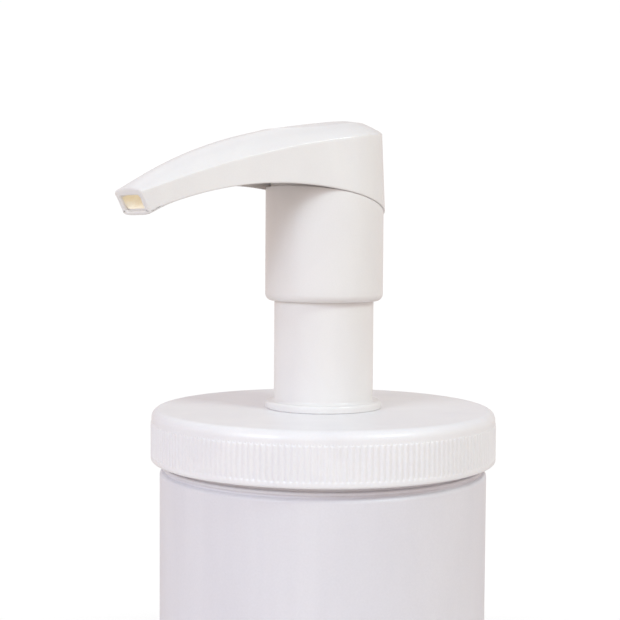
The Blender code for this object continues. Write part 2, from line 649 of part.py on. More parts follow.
def make_sleeve(material, parent):
    """Tube over the collar. Its full-width part ends under the cover's arched edge."""
    rounding = corner(sleeve_radius - SLEEVE_LIP_ROUND, lip_z + SLEEVE_LIP_ROUND,
                      SLEEVE_LIP_ROUND, -90, steps=4)
    outline = [(sleeve_bore, lip_z)] + rounding
    outline += [(sleeve_radius, sleeve_top), (sleeve_bore, sleeve_top)]
    sleeve = turned("sleeve", outline, ROUND_STEPS, material, parent)
    shape = bmesh.new()
    reach = 1.2 * head_radius
    above = sleeve_top + 5 * MM
    count = 12
    edge = [(-reach + 2 * reach * i / count) for i in range(count + 1)]
    profile = [(u, arch(u) - GAP) for u in edge] + [(reach, above), (-reach, above)]
    rings = [[shape.verts.new((-u, y, z)) for u, z in profile] for y in (-reach, reach)]
    for i in range(len(profile)):
        j = (i + 1) % len(profile)
        shape.faces.new((rings[0][i], rings[0][j], rings[1][j], rings[1][i]))
    shape.faces.new(rings[0])
    shape.faces.new(rings[1])
    arch_block = add_object("arch_block", shape)
    core = tube("rebate_core", 0.5 * COLLAR_RADIUS, sleeve_tail, lip_z - MM, above + MM,
                ROUND_STEPS)
    boolean(arch_block, core, "DIFFERENCE")
    boolean(sleeve, arch_block, "DIFFERENCE")
    return sleeve


# ---------------------------------------------------------------- assembly
def main():
    clear_scene()
    jar_white = plastic("jar_polypropylene", (0.80, 0.79, 0.80), 0.34)
    lid_white = plastic("lid_polypropylene", (0.84, 0.83, 0.82), 0.36)
    pump_white = plastic("pump_polypropylene", (0.84, 0.83, 0.82), 0.28)
    clear_pe = plastic("dip_tube_polyethylene", (0.78, 0.79, 0.80), 0.45)
    foam = plastic("liner_foam", (0.86, 0.86, 0.84), 0.8)
    silicone = plastic("seal_silicone", (0.62, 0.63, 0.64), 0.6)
    steel = plastic("stainless_steel", (0.62, 0.61, 0.60), 0.25, 1.0)

    lid_turn = axis_empty("lid_turn")
    press_guide = axis_empty("press_guide", lid_turn)
    head_turn = axis_empty("head_turn", press_guide)

    make_jar(jar_white)
    make_liner(foam, None)
    make_lid(lid_white, lid_turn)
    make_collar(pump_white, lid_turn)
    make_gasket(silicone, lid_turn)
    make_barrel(pump_white, lid_turn)
    make_bush(pump_white, lid_turn)
    make_wiper(silicone, lid_turn)
    make_foot_valve(pump_white, lid_turn)
    make_dip_tube(clear_pe, lid_turn)

    inlet_rest = ball_rest_height(INLET_BALL_RADIUS, INLET_BALL_RADIUS * 0.7, seat_z - 1.6 * MM)
    make_ball("inlet_ball", INLET_BALL_RADIUS, inlet_rest, steel, lid_turn)
    inlet_stop = inlet_rest + INLET_BALL_RADIUS + BALL_LIFT + GAP
    make_cage("inlet_ball_cage", FOOT_NECK_RADIUS - GAP, inlet_stop, inlet_stop - 3 * MM,
              pump_white, lid_turn)

    make_spring(steel, lid_turn)
    make_piston(pump_white, press_guide)
    make_piston_seal(silicone, press_guide)

    make_stem(pump_white, head_turn)
    make_stem_foot(pump_white, head_turn)
    outlet_hole = OUTLET_BALL_RADIUS * 0.7
    outlet_rest = ball_rest_height(OUTLET_BALL_RADIUS, outlet_hole, foot_nut_top)
    make_ball("outlet_ball", OUTLET_BALL_RADIUS, outlet_rest, steel, head_turn)
    outlet_stop = outlet_rest + OUTLET_BALL_RADIUS + BALL_LIFT + GAP
    make_cage("outlet_ball_cage", chamber_radius - GAP, outlet_stop, outlet_stop - 1.5 * MM,
              pump_white, head_turn)
    make_spout_duct(pump_white, head_turn)
    make_sleeve(pump_white, head_turn)
    make_head_cover(pump_white, head_turn)


main()
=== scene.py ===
import math

import bmesh
import bpy
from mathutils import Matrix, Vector


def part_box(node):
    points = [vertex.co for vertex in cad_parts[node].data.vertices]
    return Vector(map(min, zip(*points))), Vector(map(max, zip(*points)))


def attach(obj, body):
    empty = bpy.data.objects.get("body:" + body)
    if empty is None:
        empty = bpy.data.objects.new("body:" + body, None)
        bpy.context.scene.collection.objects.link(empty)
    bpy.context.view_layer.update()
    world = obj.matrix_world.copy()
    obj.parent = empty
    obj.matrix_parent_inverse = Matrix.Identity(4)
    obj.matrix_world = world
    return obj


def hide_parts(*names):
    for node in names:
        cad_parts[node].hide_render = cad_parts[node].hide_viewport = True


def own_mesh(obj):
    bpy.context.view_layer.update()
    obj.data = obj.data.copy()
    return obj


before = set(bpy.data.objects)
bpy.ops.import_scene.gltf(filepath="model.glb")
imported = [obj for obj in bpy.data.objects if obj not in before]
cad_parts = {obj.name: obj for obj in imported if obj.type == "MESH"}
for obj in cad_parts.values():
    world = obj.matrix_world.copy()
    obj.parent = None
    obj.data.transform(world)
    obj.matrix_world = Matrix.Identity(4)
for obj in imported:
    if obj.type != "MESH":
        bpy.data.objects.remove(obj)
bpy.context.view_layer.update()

mm = 0.001


def boxMm(node):
    # a CAD node's lowest and highest corner, in millimetres
    low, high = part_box(node)
    return low / mm, high / mm


def toLinear(hexColour):
    # sRGB hex to the linear colour that a socket holds
    parts = [int(hexColour[i:i + 2], 16) / 255 for i in (1, 3, 5)]
    parts = [c / 12.92 if c <= 0.04045 else ((c + 0.055) / 1.055) ** 2.4 for c in parts]
    return (*parts, 1.0)


def addNode(tree, kind, settings, links=()):
    # settings are socket values or node properties, links are (socket, output) pairs,
    # and a ramp's stops are (place, grey or colour)
    node = tree.nodes.new("ShaderNode" + kind)
    for name, value in settings.items():
        if name == "stops":
            ramp = node.color_ramp
            while len(ramp.elements) < len(value):
                ramp.elements.new(0.5)
            for element, (place, colour) in zip(ramp.elements, value):
                element.position = place
                element.color = colour if isinstance(colour, tuple) else (colour,) * 3 + (1,)
        elif isinstance(name, int) or name in node.inputs:
            node.inputs[name].default_value = value
        else:
            setattr(node, name, value)
    for name, output in links:
        tree.links.new(output, node.inputs[name])
    return node


def mouldedPlastic(name, look):
    # One finish for every moulded piece: two close shades that drift like melt flow, a fine
    # satin grain from the mould's polish, soft sinks, and light scuffs that only change the gloss.
    material = bpy.data.materials.new(name)
    material.use_nodes = True
    tree = material.node_tree
    shader = tree.nodes["Principled BSDF"]
    place = addNode(tree, "TexCoord", {})
    stretched = addNode(tree, "Mapping", {"Scale": look["flowStretch"]},
                        [("Vector", place.outputs["Object"])])
    flow = addNode(tree, "TexNoise", {"Scale": 1 / (look["flowMm"] * mm), "Detail": 3.0,
                                      "Roughness": 0.55, "Distortion": 0.6},
                   [("Vector", stretched.outputs["Vector"])])
    drift = addNode(tree, "ValToRGB", {"stops": [(0.3, 0.0), (0.7, 1.0)]},
                    [("Fac", flow.outputs["Fac"])])
    shade = addNode(tree, "Mix", {"data_type": "RGBA", 6: toLinear(look["shade"]),
                                  7: toLinear(look["colour"])}, [(0, drift.outputs["Color"])])
    flecks = addNode(tree, "TexNoise", {"Scale": 1 / (look["fleckMm"] * mm), "Detail": 1.0},
                     [("Vector", place.outputs["Object"])])
    fleckAmount = addNode(tree, "MapRange", {"From Min": 0.25, "From Max": 0.75,
                                             "To Min": 1 - look["fleckDepth"], "To Max": 1.0},
                          [("Value", flecks.outputs["Fac"])])
    tint = addNode(tree, "Mix", {"data_type": "RGBA", "blend_type": "MULTIPLY", 0: 1.0},
                   [(6, shade.outputs[2]), (7, fleckAmount.outputs["Result"])])
    tree.links.new(tint.outputs[2], shader.inputs["Base Color"])

    scuffField = addNode(tree, "TexNoise", {"Scale": 1 / (look["scuffMm"] * mm), "Detail": 6.0,
                                            "Roughness": 0.7},
                         [("Vector", place.outputs["Object"])])
    roughness = addNode(tree, "MapRange", {"From Min": 0.35, "From Max": 0.7,
                                           "To Min": look["roughness"][0],
                                           "To Max": look["roughness"][1]},
                        [("Value", scuffField.outputs["Fac"])])
    tree.links.new(roughness.outputs["Result"], shader.inputs["Roughness"])

    grain = addNode(tree, "TexNoise", {"Scale": 1 / (look["grainMm"] * mm), "Detail": 2.0},
                    [("Vector", place.outputs["Object"])])
    sinks = addNode(tree, "TexNoise", {"Scale": 1 / (look["sinkMm"] * mm), "Detail": 0.0},
                    [("Vector", place.outputs["Object"])])
    fine = addNode(tree, "Bump", {"Strength": 1.0, "Distance": look["grainDepthMm"] * mm},
                   [("Height", grain.outputs["Fac"])])
    wavy = addNode(tree, "Bump", {"Strength": 1.0, "Distance": look["sinkDepthMm"] * mm},
                   [("Height", sinks.outputs["Fac"]), ("Normal", fine.outputs["Normal"])])
    tree.links.new(wavy.outputs["Normal"], shader.inputs["Normal"])

    shader.inputs["IOR"].default_value = look["ior"]
    shader.inputs["Metallic"].default_value = 0.0
    shader.inputs["Subsurface Weight"].default_value = look["glow"]
    shader.inputs["Subsurface Radius"].default_value = (1.0, 0.85, 0.7)
    shader.inputs["Subsurface Scale"].default_value = look["glowMm"] * mm
    shader.inputs["Coat Weight"].default_value = look["coat"]
    shader.inputs["Coat Roughness"].default_value = look["coatRoughness"]
    if "through" in look:
        # a painted glow: emission in the surface's own colour stands in for daylight let in by a
        # thin natural wall
        tree.links.new(tint.outputs[2], shader.inputs["Emission Color"])
        shader.inputs["Emission Strength"].default_value = look["through"]
    return material


def brightSteel(name, look):
    # ground or drawn stainless steel: a clear mirror with fine lines left by the tool
    material = bpy.data.materials.new(name)
    material.use_nodes = True
    tree = material.node_tree
    shader = tree.nodes["Principled BSDF"]
    place = addNode(tree, "TexCoord", {})
    lines = addNode(tree, "TexNoise", {"Scale": 1 / (look["lineMm"] * mm), "Detail": 3.0},
                    [("Vector", place.outputs["Object"])])
    shade = addNode(tree, "Mix", {"data_type": "RGBA", 6: toLinear(look["shade"]),
                                  7: toLinear(look["colour"])}, [(0, lines.outputs["Fac"])])
    tree.links.new(shade.outputs[2], shader.inputs["Base Color"])
    roughness = addNode(tree, "MapRange", {"To Min": look["roughness"][0],
                                           "To Max": look["roughness"][1]},
                        [("Value", lines.outputs["Fac"])])
    tree.links.new(roughness.outputs["Result"], shader.inputs["Roughness"])
    cut = addNode(tree, "Bump", {"Strength": 1.0, "Distance": look["lineDepthMm"] * mm},
                  [("Height", lines.outputs["Fac"])])
    tree.links.new(cut.outputs["Normal"], shader.inputs["Normal"])
    shader.inputs["Metallic"].default_value = 1.0
    return material


print("finishes")

# Injection-moulded white polypropylene from a polished tool: clean and satin, a soft bright edge
# wherever it turns, and a faint warm glow where it is thin.
pumpPlastic = mouldedPlastic("mouldedPolypropylenePolished", {
    "colour": "#EFECEA", "shade": "#EAE7E6", "flowMm": 22, "flowStretch": (1, 1, 0.6),
    "fleckMm": 0.5, "fleckDepth": 0.02, "roughness": (0.3, 0.4), "scuffMm": 9,
    "grainMm": 0.45, "grainDepthMm": 0.002, "sinkMm": 11, "sinkDepthMm": 0.03,
    "ior": 1.49, "glow": 0.12, "glowMm": 1.6, "coat": 0.35, "coatRoughness": 0.12})

# The lid's polypropylene from a blasted tool: a little flatter, with a slightly cooler white.
lidPlastic = mouldedPlastic("mouldedPolypropyleneSatin", {
    "colour": "#F4F2F3", "shade": "#EEECEE", "flowMm": 30, "flowStretch": (1, 1, 1),
    "fleckMm": 0.6, "fleckDepth": 0.025, "roughness": (0.34, 0.46), "scuffMm": 12,
    "grainMm": 0.5, "grainDepthMm": 0.003, "sinkMm": 16, "sinkDepthMm": 0.04,
    "ior": 1.49, "glow": 0.12, "glowMm": 1.6, "coat": 0.25, "coatRoughness": 0.15})

# The jar's polypropylene copolymer: greyer, milky, with long flow streaks up its wall.
jarPlastic = mouldedPlastic("mouldedPolypropyleneCopolymer", {
    "colour": "#E7E4E8", "shade": "#E0DDE2", "flowMm": 26, "flowStretch": (1, 1, 0.22),
    "fleckMm": 0.7, "fleckDepth": 0.03, "roughness": (0.36, 0.5), "scuffMm": 14,
    "grainMm": 0.55, "grainDepthMm": 0.004, "sinkMm": 22, "sinkDepthMm": 0.05,
    "ior": 1.49, "glow": 0.15, "glowMm": 2.0, "coat": 0.0, "coatRoughness": 0.3})

# Unpigmented polypropylene inside the spout, cream to mustard: this warm tone and its emission are
# painted light, standing in for daylight let in by the thin wall.
channelPlastic = mouldedPlastic("naturalPolypropyleneWithPaintedGlow", {
    "colour": "#F7F2E8", "shade": "#EFE3C8", "flowMm": 6, "flowStretch": (0.4, 1, 1),
    "fleckMm": 0.5, "fleckDepth": 0.06, "roughness": (0.35, 0.55), "scuffMm": 4,
    "grainMm": 0.4, "grainDepthMm": 0.004, "sinkMm": 8, "sinkDepthMm": 0.03,
    "ior": 1.49, "glow": 0.1, "glowMm": 1.5, "coat": 0.0, "coatRoughness": 0.3,
    # strength of the painted glow
    "through": 0.18})

# Extruded natural polyethylene: waxy and cloudy, with draw lines along the tube.
tubePlastic = mouldedPlastic("extrudedPolyethylene", {
    "colour": "#E6E8E9", "shade": "#D9DCDE", "flowMm": 3, "flowStretch": (1, 1, 0.05),
    "fleckMm": 0.8, "fleckDepth": 0.03, "roughness": (0.42, 0.55), "scuffMm": 6,
    "grainMm": 0.6, "grainDepthMm": 0.006, "sinkMm": 9, "sinkDepthMm": 0.03,
    "ior": 1.51, "glow": 0.3, "glowMm": 2.5, "coat": 0.0, "coatRoughness": 0.3})

# Expanded polyethylene foam, skived to a ring: dead matt with closed cells about 0.4 mm across.
linerFoam = mouldedPlastic("expandedPolyethyleneFoam", {
    "colour": "#EEEDE9", "shade": "#E0DFDA", "flowMm": 5, "flowStretch": (1, 1, 1),
    "fleckMm": 0.4, "fleckDepth": 0.12, "roughness": (0.8, 0.92), "scuffMm": 5,
    "grainMm": 0.4, "grainDepthMm": 0.06, "sinkMm": 6, "sinkDepthMm": 0.05,
    "ior": 1.4, "glow": 0.1, "glowMm": 1.0, "coat": 0.0, "coatRoughness": 0.5})

# Moulded silicone rubber: grey, soft-looking, with a dusty bloom.
sealRubber = mouldedPlastic("mouldedSiliconeRubber", {
    "colour": "#B9BDC0", "shade": "#A7ABAF", "flowMm": 7, "flowStretch": (1, 1, 1),
    "fleckMm": 0.3, "fleckDepth": 0.08, "roughness": (0.5, 0.68), "scuffMm": 3,
    "grainMm": 0.3, "grainDepthMm": 0.006, "sinkMm": 5, "sinkDepthMm": 0.02,
    "ior": 1.41, "glow": 0.15, "glowMm": 1.0, "coat": 0.0, "coatRoughness": 0.4})

# Ground stainless steel ball: near mirror with hair-fine lapping marks.
ballSteel = brightSteel("lappedStainlessSteel", {
    "colour": "#D2D1CE", "shade": "#BFBEBC", "roughness": (0.08, 0.18),
    "lineMm": 0.3, "lineDepthMm": 0.001})

# Drawn stainless wire: bright, with streaks left by the die.
springSteel = brightSteel("drawnStainlessWire", {
    "colour": "#C9C7C3", "shade": "#A9A7A4", "roughness": (0.2, 0.36),
    "lineMm": 0.5, "lineDepthMm": 0.004})


def loft(shape, rows, wrap=True):
    # quads between successive rows of points; wrap joins each row's end to its start
    grid = [[shape.verts.new(p * mm) for p in row] for row in rows]
    joinRows(shape, grid, wrap)
    return grid


def joinRows(shape, grid, wrap=True):
    for low, high in zip(grid, grid[1:]):
        count = len(low)
        for i in range(count if wrap else count - 1):
            j = (i + 1) % count
            shape.faces.new((low[i], low[j], high[j], high[i]))


def ring(radius, height, steps, turn=0.0):
    angles = [2 * math.pi * i / steps + turn for i in range(steps)]
    return [Vector((radius * math.cos(a), radius * math.sin(a), height)) for a in angles]


def arcPoints(centreR, centreZ, size, start, end, steps):
    angles = [math.radians(start + (end - start) * i / steps) for i in range(steps + 1)]
    return [(centreR + size * math.cos(a), centreZ + size * math.sin(a)) for a in angles]


def finishPiece(name, shape, body, nodes, materials, sharpAngle=40):
    bmesh.ops.remove_doubles(shape, verts=shape.verts, dist=2e-6)
    bmesh.ops.dissolve_degenerate(shape, edges=shape.edges, dist=1e-7)
    bmesh.ops.recalc_face_normals(shape, faces=shape.faces)
    mesh = bpy.data.meshes.new(name)
    shape.to_mesh(mesh)
    shape.free()
    for material in materials:
        mesh.materials.append(material)
    mesh.shade_smooth()
    mesh.set_sharp_from_angle(angle=math.radians(sharpAngle))
    piece = bpy.data.objects.new(name, mesh)
    bpy.context.scene.collection.objects.link(piece)
    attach(piece, body)
    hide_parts(*nodes)
    print(name, len(mesh.polygons), "faces")
    return piece


def turnedPiece(name, outline, steps, body, nodes, materials):
    # a closed outline of (radius, height) turned about the jar's axis
    shape = bmesh.new()
    rows = [ring(r, z, steps) for r, z in outline]
    grid = loft(shape, rows)
    joinRows(shape, [grid[-1], grid[0]])
    return finishPiece(name, shape, body, nodes, materials)


def smoothStep(value):
    value = min(max(value, 0.0), 1.0)
    return value * value * (3 - 2 * value)


def blendOutline(outline, longest):
    # adds points so that no stretch of an outline is longer than the given length
    dense = []
    for (r0, z0), (r1, z1) in zip(outline, outline[1:] + outline[:1]):
        parts = max(1, math.ceil(math.hypot(r1 - r0, z1 - z0) / longest))
        dense += [(r0 + (r1 - r0) * i / parts, z0 + (z1 - z0) * i / parts) for i in range(parts)]
    return dense


print("screw lid")
lidLow, lidHigh = boxMm("screw_lid")
lid = {
    "steps": 1520,            # round the skirt, eight to each rib
    "ribs": 190,
    "ribHeight": 0.3,         # crest over the groove
    "ribFull": 1.5,           # more makes the crests wider
    "ribShift": 0.15,         # more makes the grooves wider
    "ribTop": 4.6,            # below the lid's top
    "ribBottom": 1.9,         # above its lower edge
    "ribEnd": 0.75,           # length of a rib's rounded end
    "edgeRound": 3.2,
    "lipRound": 0.9,
    "wall": 2.1,
    "plate": 2.2,
    "bandRecess": 0.28,       # smooth band above the ribs, inside their crests
    "threadPitch": 5.0,
    "threadTurns": 1.25,
    "threadDrop": 11.75,      # middle of the thread's start, below the jar's rim
    "threadDeep": 2.35,
    "threadHalf": 0.85,       # half the ridge's width at its root
    "threadTip": 0.45,        # and at its crest
    "threadFade": 0.03,       # part of a turn over which an end tapers off
    "threadRow": 0.3,         # height between the rows of points on a threaded wall
    "flangeWidth": 3.2,       # the collar's flange past its tube
    "holeGap": 0.3,           # play round the collar's tube
}


def ridgeHeight(angle, height, startZ, height0):
    # how far a thread ridge stands out at an angle and height; its ends taper off
    best = 0.0
    turns = lid["threadTurns"]
    for lap in (0, 1):
        along = angle / (2 * math.pi) + lap
        if along > turns:
            continue
        middle = startZ + along * lid["threadPitch"]
        off = abs(height - middle)
        flank = (lid["threadHalf"] - off) / (lid["threadHalf"] - lid["threadTip"])
        fade = min(along / lid["threadFade"], (turns - along) / lid["threadFade"], 1.0)
        best = max(best, height0 * smoothStep(flank) * max(fade, 0.0))
    return best


def buildLid():
    radius = lidHigh.x
    top, bottom = lidHigh.z, lidLow.z
    bore = radius - lid["wall"]
    plateZ = top - lid["plate"]
    hole = boxMm("pump_collar")[1].x - lid["flangeWidth"] + lid["holeGap"]
    steps = lid["steps"]
    shape = bmesh.new()
    rows = []

    def outerRow(r, z, ribShare):
        row = []
        for i in range(steps):
            a = 2 * math.pi * i / steps
            wave = 0.5 + 0.5 * math.cos(lid["ribs"] * a)
            crest = smoothStep(wave * lid["ribFull"] - lid["ribShift"])
            out = r - lid["ribHeight"] * (1 - crest) * ribShare
            row.append(Vector((out * math.cos(a), out * math.sin(a), z)))
        return row

    ribTop, ribBottom = top - lid["ribTop"], bottom + lid["ribBottom"]
    band = radius - lid["bandRecess"]
    for r, z in arcPoints(radius - lid["lipRound"], bottom + lid["lipRound"], lid["lipRound"],
                          -90, 0, 5):
        rows.append(outerRow(r, z, 0.0))
    # the ribs: grooves open out over a rounded end at the bottom, crests fall away at the top
    for i in range(5):
        part = i / 4
        rows.append(outerRow(radius, ribBottom + lid["ribEnd"] * part,
                             math.sin(part * math.pi / 2)))
    for i in range(1, 12):
        rows.append(outerRow(radius, ribBottom + lid["ribEnd"]
                             + (ribTop - ribBottom - 2 * lid["ribEnd"]) * i / 12, 1.0))
    for i in range(7):
        part = i / 6
        fall = 1 - math.cos(part * math.pi / 2)
        rows.append(outerRow(radius - lid["bandRecess"] * fall,
                             ribTop - lid["ribEnd"] * (1 - math.sin(part * math.pi / 2)),
                             1 - fall))
    edge = lid["edgeRound"]
    rows.append(outerRow(band, (ribTop + top - edge) / 2, 0.0))
    for r, z in arcPoints(band - edge, top - edge, edge, 0, 90, 12):
        rows.append(outerRow(r, z, 0.0))
    grid = loft(shape, rows)

    # the plate, the hole and the inside with its thread, on a coarser ring of points
    inner = steps // 4
    plateRings = [(band - edge - 1.0, top), ((band + hole) * 0.62, top),
                  ((band + hole) * 0.45, top), (hole + 1.5, top), (hole + 0.3, top),
                  (hole, top - 0.3), (hole, plateZ), (bore - 1.2, plateZ),
                  (bore - 0.35, plateZ - 0.35)]
    coarse = [ring(r, z, inner) for r, z in plateRings]
    threadLow = boxMm("jar")[1].z - lid["threadDrop"]
    wallTop, wallLow = plateZ - 1.2, bottom + 0.6
    levels = round((wallTop - wallLow) / lid["threadRow"])
    for i in range(levels + 1):
        z = wallTop - (wallTop - wallLow) * i / levels
        row = []
        for k in range(inner):
            a = 2 * math.pi * k / inner
            r = bore - ridgeHeight(a, z, threadLow, lid["threadDeep"])
            row.append(Vector((r * math.cos(a), r * math.sin(a), z)))
        coarse.append(row)
    coarse.append(ring(bore + 0.6, bottom, inner))
    under = loft(shape, coarse)
    # stitch the fine outer ring to the coarse inner ones, four points to one
    for fine, few, up in ((grid[-1], under[0], True), (grid[0], under[-1], False)):
        for k in range(inner):
            n = (k + 1) % inner
            run = [fine[(4 * k + j) % steps] for j in range(5)]
            corners = [few[n], few[k]] + run if up else [few[k], few[n]] + run[::-1]
            shape.faces.new(corners)
    return finishPiece("screwLid", shape, "lid", ["screw_lid"], [lidPlastic], 50)


buildLid()

print("jar")
jarHigh = boxMm("jar")[1]
jar = {
    "steps": 320,
    "wall": 1.8,
    "floor": 2.4,
    "shoulderZ": lidLow.z - 3.8,     # top of the straight wall
    "shoulderRound": 1.6,
    "neckStep": 1.6,
    "footRound": 3.0,
    "grooveDepth": 0.8,
    "beadZ": 1.5,                    # bead on the neck, above the shoulder
    "beadSize": 0.75,
    "threadDrop": 9.75,
    "threadDeep": 2.35,
}


def buildJar():
    radius = jarHigh.x
    rim = jarHigh.z
    neck = radius - jar["neckStep"]
    shoulder = jar["shoulderZ"]
    inner = radius - jar["wall"]
    neckInner = neck - jar["wall"]
    foot = jar["footRound"]
    steps = jar["steps"]
    startZ = rim - jar["threadDrop"]
    # underside: a stacking ring, a recessed middle and the gate's nib
    outline = [(0.0, 0.55), (0.8, 0.5), (1.3, 0.75), (1.8, 1.0), (6.0, 1.0), (radius * 0.5, 1.0),
               (radius - 17.0, 1.0), (radius - 16.0, 0.9), (radius - 15.0, 0.1),
               (radius - 14.5, 0.0), (radius - 13.5, 0.0), (radius - 13.0, 0.15),
               (radius - 12.6, jar["grooveDepth"]), (radius - 9.2, jar["grooveDepth"]),
               (radius - 8.6, 0.15), (radius - 8.2, 0.0)]
    outline += arcPoints(radius - foot, foot, foot, -90, 0, 8)
    wallTop = shoulder - jar["shoulderRound"]
    outline += [(radius, foot + (wallTop - foot) * i / 24) for i in range(1, 24)]
    outline += arcPoints(neck, wallTop, jar["shoulderRound"], 0, 90, 8)[:-1]
    outline += [(neck + 0.25, shoulder), (neck + 0.07, shoulder + 0.07), (neck, shoulder + 0.25)]
    beadZ, bead = shoulder + jar["beadZ"], jar["beadSize"]
    outline += arcPoints(neck, beadZ, bead, -90, 90, 8)
    neckLow, neckHigh = beadZ + bead + 0.3, rim - 0.8
    levels = round((neckHigh - neckLow) / lid["threadRow"])
    threaded = [(neck, neckLow + (neckHigh - neckLow) * i / levels) for i in range(levels + 1)]
    rimPart = arcPoints(neck - 0.7, rim - 0.7, 0.7, 0, 90, 5)
    rimPart += arcPoints(neckInner + 0.5, rim - 0.5, 0.5, 90, 180, 4)
    bend = shoulder - 4.0          # the inside is straight below this
    inside = [(neckInner, shoulder - 0.4), (neckInner + 0.2, shoulder - 1.2),
              (inner - 0.3, shoulder - 3.0), (inner, bend)]
    inside += [(inner, bend - (bend - jar["floor"] - foot) * i / 12) for i in range(1, 12)]
    inside += arcPoints(inner - foot, jar["floor"] + foot, foot, 0, -90, 6)
    inside += [(radius * 0.5, jar["floor"]), (0.0, jar["floor"])]
    shape = bmesh.new()
    rows = [ring(max(r, 0.0), z, steps) for r, z in outline]
    for r, z in threaded:
        row = []
        for k in range(steps):
            a = 2 * math.pi * k / steps
            out = r + ridgeHeight(a, z, startZ, jar["threadDeep"])
            row.append(Vector((out * math.cos(a), out * math.sin(a), z)))
        rows.append(row)
    rows += [ring(max(r, 0.0), z, steps) for r, z in rimPart + inside]
    loft(shape, rows)
    return finishPiece("sauceJar", shape, "jar", ["jar"], [jarPlastic], 50)


buildJar()

print("pump collar")
collarLow, collarHigh = boxMm("pump_collar")
collar = {
    "steps": 192,
    "flangeWidth": 3.2,
    "flangeHeight": 2.6,
    "flangeGap": 0.02,         # over the lid's plate
    "flangeRound": 0.8,
    "foot": 1.1,               # fillet where the chimney meets its flange
    "wall": 1.8,
    "edge": 0.6,
    "tailTurns": 4,
    "tailShort": 3.4,          # the tail's thread ends this far under the flange
    "tailDeep": 0.5,
}


def buildCollar():
    flange = collarHigh.x
    tube = flange - collar["flangeWidth"]
    bore = tube - collar["wall"]
    top, bottom = collarHigh.z, collarLow.z
    under = lidHigh.z + collar["flangeGap"]
    over = under + collar["flangeHeight"]
    size, foot, edge = collar["flangeRound"], collar["foot"], collar["edge"]
    outline = [(bore, bottom), (tube - edge, bottom), (tube, bottom + edge)]
    # a cut thread on the tail, as shallow rings
    tailTop = under - collar["tailShort"]
    turns = collar["tailTurns"]
    root = tube - collar["tailDeep"]
    for i in range(turns):
        z = bottom + 1.2 + (tailTop - bottom - 1.6) * i / turns
        outline += [(tube, z), (root, z + 0.5), (root, z + 0.9), (tube, z + 1.3)]
    outline += [(tube, under), (flange - 0.3, under), (flange, under + 0.3)]
    outline += arcPoints(flange - size, over - size, size, 0, 90, 6)
    outline += arcPoints(tube + foot, over + foot, foot, -90, -180, 7)
    outline += [(tube, over + foot + (top - edge - over - foot) * i / 8) for i in range(1, 8)]
    outline += arcPoints(tube - edge, top - edge, edge, 0, 90, 4)
    outline += arcPoints(bore + 0.3, top - 0.3, 0.3, 90, 180, 3)
    return turnedPiece("pumpCollar", blendOutline(outline, 6.0), collar["steps"], "lid",
                       ["pump_collar"], [pumpPlastic])


buildCollar()

print("head")
head = {
    "wall": 1.3,
    "edge": 1.3,               # rounding between side and top
    "draft": math.tan(math.radians(2.5)),
    "reach": 78.0,             # axis to the middle of the mouth
    "mouthHalf": 9.2,          # half the mouth's width
    "mouthLean": 1.93,         # its top stands out and its foot stands back by this much
    "leanStart": 45.0,
    "archPeakU": 27.5,         # highest point of the lower edge, from the axis
    "archRadius": 116.5,
    "archBelowDuct": 6.5,
    "chin": 0.75,              # the lower edge drops this much at the mouth
    "chinLong": 10.0,
    "edgeOverDuct": 11.6,
    "edgeSlope": 0.125,
    "edgeSag": 0.0018,
    "crown": 5.5,              # rise of the top's middle over its edge
    "mouthCrown": 1.2,         # and at the mouth
    "crownFall": 3.2,          # how late the crown sinks towards the mouth
    "fullness": 2.5,           # how boxy the crown is
    "ledge": 0.5,              # cover past the sleeve
    "lowerRound": 0.45,        # lower edge of the cover
    "mouthLowerRound": 1.0,    # and over the last part before the mouth
    "lowerRoundLong": 12.0,
    "padU": 4.0,               # middle of the thumb rest
    "padLong": 21.0,           # half its length
    "padWide": 12.0,
    "padDepth": 0.4,
    "padLip": 0.16,            # height of the soft lip round it
    "ductOverSleeve": 1.5,     # the duct's underside over the sleeve's top
    "sideSteps": 64,
    "backSteps": 84,
}
sleeveLow, sleeveHigh = boxMm("sleeve")
head["radius"] = sleeveHigh.x + head["ledge"]
head["ductZ"] = sleeveHigh.z + head["ductOverSleeve"]
head["archPeak"] = head["ductZ"] - head["archBelowDuct"]
head["edgeZ"] = head["ductZ"] + head["edgeOverDuct"]


def archZ(u):
    # the cover's lower edge; u is the distance from the axis towards the mouth
    r = head["archRadius"]
    chin = head["chin"] * smoothStep((u - head["reach"] + head["chinLong"])
                                     / head["chinLong"])
    return head["archPeak"] - chin - (r - math.sqrt(r * r - (u - head["archPeakU"]) ** 2))


def sideEdgeZ(u):
    return head["edgeZ"] - head["edgeSlope"] * u - head["edgeSag"] * max(u, 0) ** 2


def crownRise(u):
    along = max(u - head["radius"], 0) / (head["reach"] - head["radius"])
    return head["crown"] + (head["mouthCrown"] - head["crown"]) * along ** head["crownFall"]


def leanAt(u):
    return head["mouthLean"] * smoothStep((u - head["leanStart"])
                                          / (head["reach"] - head["leanStart"]))


def padDip(x, y):
    # the shallow oval thumb rest, with a soft raised lip round it
    far = math.hypot((-x - head["padU"]) / head["padLong"], y / head["padWide"])
    dish = -head["padDepth"] * (1 - far * far) if far < 1 else 0.0
    lip = head["padLip"] * math.exp(-((far - 1.02) / 0.06) ** 2)
    return dish + lip


